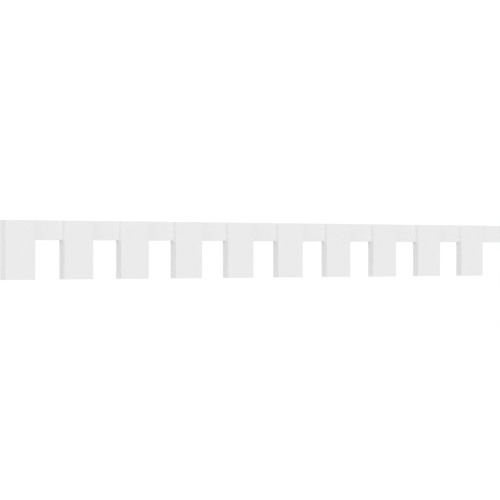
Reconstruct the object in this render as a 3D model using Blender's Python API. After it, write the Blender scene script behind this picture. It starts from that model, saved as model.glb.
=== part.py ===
"""A length of dentil moulding: square blocks in a row, all one piece with the thin band they hang from.

Lengths are in metres. X runs along the strip, the dentils' fronts face -Y, and Z is up. The flat back is the
plane Y = 0. The origin is on the back, halfway along the strip and halfway up the band.
"""

import itertools

import bmesh
import bpy

# Driving dimensions
STRIP_LENGTH = 1.000
STRIP_HEIGHT = 0.075
DENTIL_WIDTH = 0.050
DENTIL_THICKNESS = 0.010
GAP_WIDTH = 0.050
BAND_HEIGHT = 0.025
BAND_THICKNESS = 0.005

# Levels and places that follow from them
BAND_TOP = BAND_HEIGHT / 2
BAND_BOTTOM = BAND_TOP - BAND_HEIGHT
DENTIL_BOTTOM = BAND_TOP - STRIP_HEIGHT
LEFT_END = -STRIP_LENGTH / 2
RIGHT_END = LEFT_END + STRIP_LENGTH

# Two corners closer than this are one corner
WELD_DISTANCE = 0.00001

# Finish
TRIM_WHITE = (0.80, 0.80, 0.80, 1.0)
TRIM_ROUGHNESS = 0.45


def clear_scene():
    """Remove every object, so that the file holds the moulding alone."""
    for leftover in list(bpy.data.objects):
        bpy.data.objects.remove(leftover)


def white_trim():
    """Return the plain white finish of extruded trim board."""
    material = bpy.data.materials.new("white_trim")
    material.use_nodes = True
    shader = material.node_tree.nodes["Principled BSDF"]
    shader.inputs["Base Color"].default_value = TRIM_WHITE
    shader.inputs["Roughness"].default_value = TRIM_ROUGHNESS
    shader.inputs["Metallic"].default_value = 0.0
    return material


def stretches():
    """List the strip's stretches from the left, as (left, right, is_dentil).

    A dentil comes first, then a gap, and so on, and the strip is cut square at its right end, wherever in the
    pattern that falls.
    """
    pattern = itertools.cycle(((DENTIL_WIDTH, True), (GAP_WIDTH, False)))
    found = []
    left = LEFT_END
    while left < RIGHT_END - WELD_DISTANCE:
        width, is_dentil = next(pattern)
        right = min(left + width, RIGHT_END)
        found.append((left, right, is_dentil))
        left = right
    return found


def add_panel(bm, left, right, bottom, top):
    """Add one rectangle of the strip's back, in the plane Y = 0, and return its face."""
    corners = ((left, 0, bottom), (right, 0, bottom), (right, 0, top), (left, 0, top))
    return bm.faces.new([bm.verts.new(corner) for corner in corners])


def extrude_to_front(bm, faces, depth):
    """Extrude faces towards the front by depth, with the faces round their edges."""
    extruded = bmesh.ops.extrude_face_region(bm, geom=faces)["geom"]
    moved = [part for part in extruded if isinstance(part, bmesh.types.BMVert)]
    bmesh.ops.translate(bm, vec=(0, -depth, 0), verts=moved)


def dentil_strip():
    """Return the moulding as one closed solid.

    The whole comb of band and dentils is extruded from the back to the band's front, and then the dentils
    alone, over their full height, are carried on to their own front.
    """
    bm = bmesh.new()
    for left, right, is_dentil in stretches():
        add_panel(bm, left, right, BAND_BOTTOM, BAND_TOP)
        if is_dentil:
            add_panel(bm, left, right, DENTIL_BOTTOM, BAND_BOTTOM)
    bmesh.ops.remove_doubles(bm, verts=bm.verts[:], dist=WELD_DISTANCE)
    extrude_to_front(bm, bm.faces[:], BAND_THICKNESS)

    dentil_spans = [(left, right) for left, right, is_dentil in stretches() if is_dentil]
    dentil_fronts = []
    for face in bm.faces:
        centre = face.calc_center_median()
        at_band_front = centre.y < -BAND_THICKNESS + WELD_DISTANCE
        in_dentil = any(left < centre.x < right for left, right in dentil_spans)
        if at_band_front and in_dentil:
            dentil_fronts.append(face)
    extrude_to_front(bm, dentil_fronts, DENTIL_THICKNESS - BAND_THICKNESS)
    # The faces that the dentils grew from are now inside the solid
    bmesh.ops.delete(bm, geom=dentil_fronts, context="FACES_KEEP_BOUNDARY")

    bmesh.ops.recalc_face_normals(bm, faces=bm.faces[:])
    mesh = bpy.data.meshes.new("dentil_strip")
    bm.to_mesh(mesh)
    bm.free()
    return bpy.data.objects.new("dentil_strip", mesh)


def main():
    """Build the moulding and put it in the scene."""
    clear_scene()
    strip = dentil_strip()
    strip.data.materials.append(white_trim())
    bpy.context.scene.collection.objects.link(strip)


main()
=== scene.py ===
# %% [markdown]
# A length of dentil moulding, finished and lit
#
# Dentil moulding is the row of small square blocks, like teeth, that runs under a cornice. This length is
# one piece of white trim board. A cutter has taken out the gaps between the blocks, right through, up to
# a band along the top, and has cut the band back between them to half the board's thickness. The shape
# was settled in a solid model. This script loads that solid as a fixed frame, and everything below is
# measured from it.

# %% Load the solid model
import math
from bisect import bisect

import bmesh
import bpy
from mathutils import Matrix


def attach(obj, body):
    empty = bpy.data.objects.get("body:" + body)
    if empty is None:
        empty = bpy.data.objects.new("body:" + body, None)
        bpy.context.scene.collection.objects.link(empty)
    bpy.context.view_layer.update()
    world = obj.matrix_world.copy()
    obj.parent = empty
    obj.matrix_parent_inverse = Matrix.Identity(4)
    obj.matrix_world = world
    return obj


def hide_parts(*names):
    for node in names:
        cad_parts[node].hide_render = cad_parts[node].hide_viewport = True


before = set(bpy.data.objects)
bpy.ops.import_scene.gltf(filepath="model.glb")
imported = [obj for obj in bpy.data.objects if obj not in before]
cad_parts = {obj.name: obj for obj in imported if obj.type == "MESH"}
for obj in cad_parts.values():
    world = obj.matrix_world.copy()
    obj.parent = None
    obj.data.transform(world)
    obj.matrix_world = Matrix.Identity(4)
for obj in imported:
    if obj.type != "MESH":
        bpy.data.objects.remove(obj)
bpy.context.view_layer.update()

# %% [markdown]
# Where the strip's faces lie
#
# The moulding is all flat faces at right angles, so three short lists place every one of them: the X of
# each dentil's sides, the Y of the fronts and the back, and the Z of the feet, the band's lower edge and
# the top. They could be typed in again here, but then the looks and the solid could drift apart. Reading
# them off the solid's own corners keeps the two together when a size changes.

# %% Read the faces' places off the solid
X, Y, Z = range(3)
CORNER_DECIMALS = 6
solid_corners = [vertex.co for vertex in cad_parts["dentil_strip"].data.vertices]


def places_along(axis):
    """List the different places that the solid's corners take along one axis, lowest first."""
    return sorted({round(corner[axis], CORNER_DECIMALS) for corner in solid_corners})


dentil_sides = places_along(X)
front_y, band_front_y, back_y = places_along(Y)
foot_z, band_foot_z, top_z = places_along(Z)
print("Sides of dentils at X", dentil_sides)
print("Dentil front", front_y, "band front", band_front_y, "back", back_y)
print("Feet", foot_z, "band's lower edge", band_foot_z, "top", top_z)


def in_dentil(x):
    """Say whether a place along the strip is in a dentil: they take turns with gaps, and one comes first."""
    return bisect(dentil_sides, x) % 2 == 1


# %% [markdown]
# One sheet, scored into panels
#
# The board is made the way a paper pattern is. It starts as one flat sheet where the back will be, as
# long and as high as the strip. Blocks joined to a bar by a Boolean would give the same outline, but the
# joins would leave slivers that a bevel trips over. A sheet that is scored and then thickened has only
# the edges that the real piece has. Scoring is bisect_plane with both sides kept: it runs a line of new
# edges across the sheet. The grid's size is half its side, so a size of a half gives a sheet of one metre
# each way, and scaling it by the strip's length and height makes it just as large as they are.

# %% Lay out the sheet and score it
WELD_DISTANCE = 0.00001
HALF_A_METRE = 0.5

strip = bmesh.new()
bmesh.ops.create_grid(strip, x_segments=1, y_segments=1, size=HALF_A_METRE)
bmesh.ops.rotate(strip, verts=strip.verts[:], matrix=Matrix.Rotation(math.pi / 2, 3, "X"))
strip_length = dentil_sides[-1] - dentil_sides[0]
strip_height = top_z - foot_z
bmesh.ops.scale(strip, verts=strip.verts[:], vec=(strip_length, 1, strip_height))
middle = ((dentil_sides[0] + dentil_sides[-1]) / 2, back_y, (foot_z + top_z) / 2)
bmesh.ops.translate(strip, verts=strip.verts[:], vec=middle)


def score(bm, point, across):
    """Run a line of edges over the sheet where the plane through point, square to across, meets it."""
    everything = bm.verts[:] + bm.edges[:] + bm.faces[:]
    bmesh.ops.bisect_plane(bm, geom=everything, dist=WELD_DISTANCE, plane_co=point, plane_no=across)


for side_x in dentil_sides[1:-1]:
    score(strip, (side_x, back_y, 0), (1, 0, 0))
score(strip, (0, back_y, band_foot_z), (0, 0, 1))
print("Panels after scoring:", len(strip.faces))

# %% [markdown]
# Cutting out the gaps
#
# Below the band the gaps are open, so the wall behind shows through them. Each panel that lies below the
# band and in none of the dentils is simply taken away.

# %% Remove the panels in the gaps
gap_panels = []
for panel in strip.faces:
    centre = panel.calc_center_median()
    if centre.z < band_foot_z and not in_dentil(centre.x):
        gap_panels.append(panel)
bmesh.ops.delete(strip, geom=gap_panels, context="FACES")
print("Panels left:", len(strip.faces))

# %% [markdown]
# Two thicknesses
#
# The whole comb is pulled forward to the band's front, and then the dentils alone, over their full
# height, are pulled on to their own front. An extruded open sheet keeps its first faces, and they become
# the back. Faces that are part of a closed skin leave theirs behind inside, so those are deleted after
# the second pull.

# %% Thicken the band, then the dentils
CUBIC_CM_IN_CUBIC_M = 1e6


def pull_forward(bm, faces, distance):
    """Extrude faces towards the front."""
    pulled = bmesh.ops.extrude_face_region(bm, geom=faces)["geom"]
    corners = [part for part in pulled if isinstance(part, bmesh.types.BMVert)]
    bmesh.ops.translate(bm, vec=(0, -distance, 0), verts=corners)


def lies_at(place, *levels):
    """Say whether a place along an axis is at one of the given levels."""
    return any(abs(place - level) < WELD_DISTANCE for level in levels)


def cubic_centimetres(bm):
    """Return the volume that a closed mesh holds."""
    return round(bm.calc_volume() * CUBIC_CM_IN_CUBIC_M, 2)


pull_forward(strip, strip.faces[:], back_y - band_front_y)

dentil_panels = []
for panel in strip.faces:
    centre = panel.calc_center_median()
    if lies_at(centre.y, band_front_y) and in_dentil(centre.x):
        dentil_panels.append(panel)
pull_forward(strip, dentil_panels, band_front_y - front_y)
bmesh.ops.delete(strip, geom=dentil_panels, context="FACES_KEEP_BOUNDARY")
bmesh.ops.recalc_face_normals(strip, faces=strip.faces[:])
print("Volume in cubic centimetres:", cubic_centimetres(strip))

# %% [markdown]
# Clearing the scored lines
#
# The scored lines have done their work, and on a flat face they would only get in the bevel's way. A
# limited dissolve takes out every edge whose two faces are flat to each other, so each real face becomes
# one face: the back is a single comb-shaped polygon, and each dentil's front is a plain rectangle.

# %% Dissolve the edges that lie in flat faces
FLAT_ANGLE = math.radians(1)
bmesh.ops.dissolve_limit(strip, angle_limit=FLAT_ANGLE, verts=strip.verts[:], edges=strip.edges[:])
print("Real faces:", len(strip.faces))

# %% [markdown]
# Which face was made how
#
# The board's own two faces, front and back, left the factory with a smooth skin. Every other face was cut
# after that: the recesses and the gaps' sides with a cutter, the top, the feet and the two ends with a
# saw. The finish goes with the face, so each face is marked with the number of its material before the
# edges are rounded, and the rounding then takes the finish of the face that it came from.

# %% Mark each face with its finish
SKIN, MILLED, SAWN = range(3)


def finish_of(face):
    """Say how a flat face of the strip was made, from where its middle lies."""
    centre = face.calc_center_median()
    if lies_at(centre.y, front_y, back_y):
        return SKIN
    if lies_at(centre.z, foot_z, top_z):
        return SAWN
    if lies_at(centre.x, dentil_sides[0], dentil_sides[-1]):
        return SAWN
    return MILLED


for face in strip.faces:
    face.material_index = finish_of(face)
for name, number in (("Skin", SKIN), ("Milled", MILLED), ("Sawn", SAWN)):
    print(name, "faces:", sum(face.material_index == number for face in strip.faces))

# %% [markdown]
# Easing the arrises
#
# No cut edge on a real piece is a perfect line. A light pass with fine paper breaks each outer edge, or
# arris, by a tenth or two of a millimetre, and that narrow round is what catches the light. The inner
# corners, where a recess meets a dentil's side, are left as sharp as the cutter made them. A Bevel
# modifier limited by angle would round the inner corners too, so the outer edges are picked first: they
# are the convex ones.

# %% Round the outer edges
ARRIS = 0.00015
ARRIS_SEGMENTS = 3

arrises = [edge for edge in strip.edges if edge.is_convex]
bmesh.ops.bevel(
    strip,
    geom=arrises,
    offset=ARRIS,
    offset_type="OFFSET",
    affect="EDGES",
    segments=ARRIS_SEGMENTS,
    profile=0.5,
    material=-1,
)
print("Arrises eased:", len(arrises), "faces now:", len(strip.faces))

# %% [markdown]
# From working mesh to piece
#
# The rounded edges are shaded smooth and the inner corners are kept sharp. Smooth shading alone would let
# the narrow rounds bend the light over the wide flat faces beside them. A Weighted Normal modifier cures
# that: it gives each shared corner the direction of its largest face, so the flats stay flat and only the
# arris turns.

# %% Make the piece
SHARP_ANGLE = math.radians(60)

bmesh.ops.recalc_face_normals(strip, faces=strip.faces[:])
open_edges = [edge for edge in strip.edges if not edge.is_manifold]
print("Open edges:", len(open_edges), "volume in cubic centimetres:", cubic_centimetres(strip))

moulding_mesh = bpy.data.meshes.new("moulding")
strip.to_mesh(moulding_mesh)
strip.free()
moulding_mesh.shade_smooth()
moulding_mesh.set_sharp_from_angle(angle=SHARP_ANGLE)

moulding = bpy.data.objects.new("moulding", moulding_mesh)
bpy.context.scene.collection.objects.link(moulding)
flats = moulding.modifiers.new("Flat faces stay flat", "WEIGHTED_NORMAL")
flats.keep_sharp = True

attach(moulding, "root")
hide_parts("dentil_strip")

# %% [markdown]
# Three finishes of one white board
#
# The board is a foamed white plastic, solid white all through and never painted. All three finishes share
# its colour, and what tells them apart is the surface, together with painted shade in the pits of the open
# cells on the cut faces. The skin is satin, with a faint drawn texture along the strip. A milled face is a
# little duller, because the cutter leaves fine ridges and opens the board's tiny cells. A sawn face has the
# same open cells under coarser lines.

# %% A start for each finish
BOARD_WHITE = 0.80


def new_finish(name):
    """Return a material in the board's plain white, with its node tree and its shader."""
    material = bpy.data.materials.new(name)
    material.use_nodes = True
    tree = material.node_tree
    shader = tree.nodes["Principled BSDF"]
    shader.inputs["Base Color"].default_value = (BOARD_WHITE, BOARD_WHITE, BOARD_WHITE, 1.0)
    return material, tree, shader


print("The board throws back", BOARD_WHITE, "of the light that falls on it")

# %% [markdown]
# Grain at its real size
#
# The patterns on the faces come from noise. Painting them into a picture would fix their size to the
# picture's pixels. Noise that is worked out from the object's own coordinates stays sharp from any
# distance, and its grains are as long on a long strip as on a short one. A Mapping node stretches it. A
# grain is given here by its length in metres along each axis, so a long and narrow grain makes lines, and
# an even one makes specks.

# %% Make noise with grains of a given size


def stretched_noise(tree, grain, detail):
    """Add noise whose grains have the given lengths along X, Y and Z, and return its output."""
    coordinates = tree.nodes.new("ShaderNodeTexCoord")
    mapping = tree.nodes.new("ShaderNodeMapping")
    mapping.inputs["Scale"].default_value = [1 / length for length in grain]
    noise = tree.nodes.new("ShaderNodeTexNoise")
    noise.inputs["Scale"].default_value = 1.0
    noise.inputs["Detail"].default_value = detail
    tree.links.new(coordinates.outputs["Object"], mapping.inputs["Vector"])
    tree.links.new(mapping.outputs["Vector"], noise.inputs["Vector"])
    return noise.outputs["Fac"]


# %% [markdown]
# From pattern to surface
#
# A pattern can do two things to a finish. Through a Bump node it tilts the surface as a real height
# would. Marks a hundredth of a millimetre deep would need millions of faces, and a Bump node needs none.
# Through a Map Range node it moves one of the shader's numbers, such as the roughness, between a low and
# a high end.

# %% Let a pattern raise the surface or move a number


def raise_surface(tree, shader, height, depth):
    """Let a pattern raise the surface by up to depth metres, on top of what raises it already."""
    bump = tree.nodes.new("ShaderNodeBump")
    bump.inputs["Strength"].default_value = 1.0
    bump.inputs["Distance"].default_value = depth
    normal_socket = shader.inputs["Normal"]
    if normal_socket.is_linked:
        tree.links.new(normal_socket.links[0].from_socket, bump.inputs["Normal"])
    tree.links.new(height, bump.inputs["Height"])
    tree.links.new(bump.outputs["Normal"], normal_socket)


def vary(tree, pattern, ends, socket):
    """Let a pattern move a number between its low and high ends, and feed it to a socket."""
    low, high = ends
    spread = tree.nodes.new("ShaderNodeMapRange")
    spread.inputs["To Min"].default_value = low
    spread.inputs["To Max"].default_value = high
    tree.links.new(pattern, spread.inputs["Value"])
    tree.links.new(spread.outputs["Result"], socket)


# %% [markdown]
# The skin of the board's two faces
#
# The board was pressed out between cooled plates, which leaves its two faces smooth. What remains is a
# peel too shallow to feel and, along the way that the board was drawn, lines a hundredth of a millimetre
# deep. Neither shows as a mark from a step away. They break up the gloss, so that the fronts look satin
# and not like glass.

# %% Give the skin its peel and its drawn lines
PEEL_GRAIN = (0.0011, 0.0011, 0.0011)
PEEL_DEPTH = 0.000006
DRAWN_GRAIN = (0.170, 0.0025, 0.0025)
DRAWN_DEPTH = 0.000012
SKIN_ROUGHNESS = (0.38, 0.46)

skin, skin_tree, skin_shader = new_finish("trim_skin")
peel = stretched_noise(skin_tree, PEEL_GRAIN, detail=2)
drawn_lines = stretched_noise(skin_tree, DRAWN_GRAIN, detail=3)
raise_surface(skin_tree, skin_shader, peel, PEEL_DEPTH)
raise_surface(skin_tree, skin_shader, drawn_lines, DRAWN_DEPTH)
vary(skin_tree, drawn_lines, SKIN_ROUGHNESS, skin_shader.inputs["Roughness"])
print("Skin:", len(skin_tree.nodes), "nodes")

# %% [markdown]
# Open cells
#
# Under its skin the board is foam, with cells too small to make out from a step away. Any cut opens them,
# so they show on the milled faces and on the sawn ones. They are specks a fifth of a millimetre across.
# The bottom of each is painted a little darker and its rim a little lighter: this is painted shade in the
# pits, and the board's white itself does not change.

# %% Open the cells of a cut face
CELL_GRAIN = (0.0002, 0.0002, 0.0002)
CELL_DEPTH = 0.000018
# Painted shade: the cells' colour runs from darker than the board's white in the pits to lighter on the
# rims.
PAINTED_PIT_SHADE = 0.025
CELL_WHITE_WITH_PAINTED_PIT_SHADE = (BOARD_WHITE - PAINTED_PIT_SHADE, BOARD_WHITE + PAINTED_PIT_SHADE)


def open_cells_with_painted_shade(tree, shader):
    """Sink the foam's open cells into a cut face, and paint shade into the bottom of each."""
    cells = stretched_noise(tree, CELL_GRAIN, detail=1)
    raise_surface(tree, shader, cells, CELL_DEPTH)
    # Painted shade: the low parts of the noise, the pits, get a darker base colour than the raised rims.
    vary(tree, cells, CELL_WHITE_WITH_PAINTED_PIT_SHADE, shader.inputs["Base Color"])


print("White of a cell, from its bottom to its rim:", [round(white, 3) for white in CELL_WHITE_WITH_PAINTED_PIT_SHADE])

# %% [markdown]
# The milled faces
#
# A cutter made the recesses, the gaps' sides and the band's lower edge. On a gap's side its ridges run
# straight through the thickness, just under a millimetre apart. On a recess's floor the cutter's end
# swirls round and round, and leaves an even scuffing with no direction. One noise serves both: its grains
# are short along X and Z, and along Y they are longer than the board is thick.

# %% Give the milled faces their ridges
RIDGE_GRAIN = (0.0009, 0.025, 0.0009)
RIDGE_DEPTH = 0.000050
MILLED_ROUGHNESS = (0.50, 0.60)

milled, milled_tree, milled_shader = new_finish("trim_milled")
ridges = stretched_noise(milled_tree, RIDGE_GRAIN, detail=2)
raise_surface(milled_tree, milled_shader, ridges, RIDGE_DEPTH)
vary(milled_tree, ridges, MILLED_ROUGHNESS, milled_shader.inputs["Roughness"])
open_cells_with_painted_shade(milled_tree, milled_shader)
print("Milled:", len(milled_tree.nodes), "nodes")

# %% [markdown]
# The sawn faces
#
# A saw ripped the strip off the board along its top and its feet, and cut it square at the two ends. The
# teeth go through the thickness too, so the lines lie as the cutter's ridges do, but they are more than
# twice as far apart and as deep. This is also the dullest of the three finishes.

# %% Give the sawn faces their lines
SAW_LINE_GRAIN = (0.002, 0.025, 0.002)
SAW_LINE_DEPTH = 0.000120
SAWN_ROUGHNESS = (0.54, 0.66)

sawn, sawn_tree, sawn_shader = new_finish("trim_sawn")
saw_lines = stretched_noise(sawn_tree, SAW_LINE_GRAIN, detail=3)
raise_surface(sawn_tree, sawn_shader, saw_lines, SAW_LINE_DEPTH)
vary(sawn_tree, saw_lines, SAWN_ROUGHNESS, sawn_shader.inputs["Roughness"])
open_cells_with_painted_shade(sawn_tree, sawn_shader)
print("Sawn:", len(sawn_tree.nodes), "nodes")

# %% [markdown]
# Putting the finishes on
#
# Each face already has the number of its finish. The numbers count through the mesh's own list of
# materials, so the finishes go into that list in the same order.

# %% Put the finishes on the piece
for finish in (skin, milled, sawn):
    moulding_mesh.materials.append(finish)
print("Finishes:", [material.name for material in moulding_mesh.materials])

# %% [markdown]
# The floor
#
# A moulding like this is fixed to a wall well above the floor, and the photograph shows it with nothing
# under it. So the floor is plain and pale, and lies as far below as it would in a room. All the light
# that a pale room throws back comes from the sky in the next step, so the floor is there for the camera
# alone: it neither lights the strip nor shades it. The photograph's background is pure white, and the
# floor glows a little to be so too.

# %% Lay the floor
FLOOR_DROP = 2.2
FLOOR_HALF_WIDTH = 60.0
FLOOR_WHITE = (0.98, 0.98, 0.98, 1.0)
FLOOR_ROUGHNESS = 0.9
FLOOR_GLOW = 0.08

floor_bm = bmesh.new()
bmesh.ops.create_grid(floor_bm, x_segments=1, y_segments=1, size=FLOOR_HALF_WIDTH)
bmesh.ops.translate(floor_bm, verts=floor_bm.verts[:], vec=(0, 0, foot_z - FLOOR_DROP))
floor_mesh = bpy.data.meshes.new("floor")
floor_bm.to_mesh(floor_mesh)
floor_bm.free()
floor_material = bpy.data.materials.new("pale_floor")
floor_material.use_nodes = True
floor_shader = floor_material.node_tree.nodes["Principled BSDF"]
floor_shader.inputs["Base Color"].default_value = FLOOR_WHITE
floor_shader.inputs["Roughness"].default_value = FLOOR_ROUGHNESS
floor_shader.inputs["Emission Strength"].default_value = FLOOR_GLOW
floor_mesh.materials.append(floor_material)
floor = bpy.data.objects.new("floor", floor_mesh)
floor.visible_diffuse = False
floor.visible_glossy = False
floor.visible_shadow = False
bpy.context.scene.collection.objects.link(floor)
print("Floor laid", FLOOR_DROP, "m below the dentils' feet")

# %% [markdown]
# The sky
#
# The photograph is lit like a catalogue picture. The fronts are an even light grey, the sides that face
# left are a little darker, and there is only a breath of shade beside each dentil and under the band.
# Shade as soft as that means that most of the light comes from all round, so a sky does most of the work
# here. It is a little brighter from above than from below, as a room with a pale ceiling is, and it
# changes from one to the other slowly, over a wide belt round the horizon. A second, whiter sky stands in
# for the photograph's pure white background, wherever the camera sees past the strip.

# %% Light the sky
SKY_ABOVE = 0.80
SKY_BELOW = 0.65
SKY_BLEND = 0.35
BACKDROP = 1.02
WHITE_LIGHT = (1, 1, 1, 1)

world = bpy.data.worlds.new("studio")
world.use_nodes = True
bpy.context.scene.world = world
sky = world.node_tree
sky_light = sky.nodes["Background"]
sky_light.inputs["Color"].default_value = WHITE_LIGHT
direction = sky.nodes.new("ShaderNodeTexCoord")
split = sky.nodes.new("ShaderNodeSeparateXYZ")
height = sky.nodes.new("ShaderNodeMapRange")
height.inputs["From Min"].default_value = -SKY_BLEND
height.inputs["From Max"].default_value = SKY_BLEND
height.inputs["To Min"].default_value = SKY_BELOW
height.inputs["To Max"].default_value = SKY_ABOVE
sky.links.new(direction.outputs["Generated"], split.inputs["Vector"])
sky.links.new(split.outputs["Z"], height.inputs["Value"])
sky.links.new(height.outputs["Result"], sky_light.inputs["Strength"])

backdrop = sky.nodes.new("ShaderNodeBackground")
backdrop.inputs["Color"].default_value = WHITE_LIGHT
backdrop.inputs["Strength"].default_value = BACKDROP
path = sky.nodes.new("ShaderNodeLightPath")
seen_or_lit = sky.nodes.new("ShaderNodeMixShader")
sky.links.new(path.outputs["Is Camera Ray"], seen_or_lit.inputs[0])
sky.links.new(sky_light.outputs["Background"], seen_or_lit.inputs[1])
sky.links.new(backdrop.outputs["Background"], seen_or_lit.inputs[2])
sky.links.new(seen_or_lit.outputs["Shader"], sky.nodes["World Output"].inputs["Surface"])
print("Sky from", SKY_BELOW, "below to", SKY_ABOVE, "above")

# %% [markdown]
# Two soft lamps
#
# The sky alone would light the fronts and the sides alike. A key light from the front, a little to the
# left and well above, makes the fronts the brightest faces and throws the faint shade to the right of
# each dentil. A weaker light, level with the strip and far to the left, keeps the sides from going dull.
# A lamp near the strip would fade along its metre of length. A sun is equally strong everywhere, and one
# that looks 36 degrees wide is as soft as a big studio light.

# %% Hang the key light and the side light
LAMP_WIDTH = math.radians(36)


def hang_sun(name, strength, left, up):
    """Hang a wide sun so many degrees left of straight ahead, and so many above level."""
    lamp = bpy.data.lights.new(name, "SUN")
    lamp.energy = strength
    lamp.angle = LAMP_WIDTH
    sun = bpy.data.objects.new(name, lamp)
    sun.rotation_euler = (math.pi / 2 - math.radians(up), 0, -math.radians(left))
    bpy.context.scene.collection.objects.link(sun)
    print("Hung the", name, "at", left, "degrees left and", up, "degrees up")


hang_sun("key", strength=1.20, left=20, up=35)
hang_sun("side", strength=0.40, left=80, up=0)

# %% [markdown]
# The camera
#
# In the photograph the strip runs away to the right in strong perspective: the near dentil is a fifth
# taller than the far one. The top edge sinks and the feet rise towards a level that crosses the dentils a
# third of the way down from the band, so the camera stands at that height and looks straight ahead. A
# long lens from a few metres away gives the same lines. The picture is a square, with that level a little
# under its middle, which a small upward shift of the lens gives.

# %% Place the camera
CAMERA_PLACE = (-2.750, -2.561, -0.0302)
CAMERA_YAW = math.radians(46.55)
CAMERA_LENS = 195.8
SENSOR_WIDTH = 36.0
EYE_LEVEL_SHIFT = 0.0081
FARTHEST_SEEN = 500.0

camera_data = bpy.data.cameras.new("camera")
camera_data.lens = CAMERA_LENS
camera_data.sensor_width = SENSOR_WIDTH
camera_data.shift_y = EYE_LEVEL_SHIFT
camera_data.clip_end = FARTHEST_SEEN
camera = bpy.data.objects.new("camera", camera_data)
camera.location = CAMERA_PLACE
camera.rotation_euler = (math.pi / 2, 0, -CAMERA_YAW)
bpy.context.scene.collection.objects.link(camera)
bpy.context.scene.camera = camera
bpy.context.scene.view_settings.view_transform = "Standard"
print("The camera sees", round(math.degrees(camera_data.angle), 1), "degrees across")
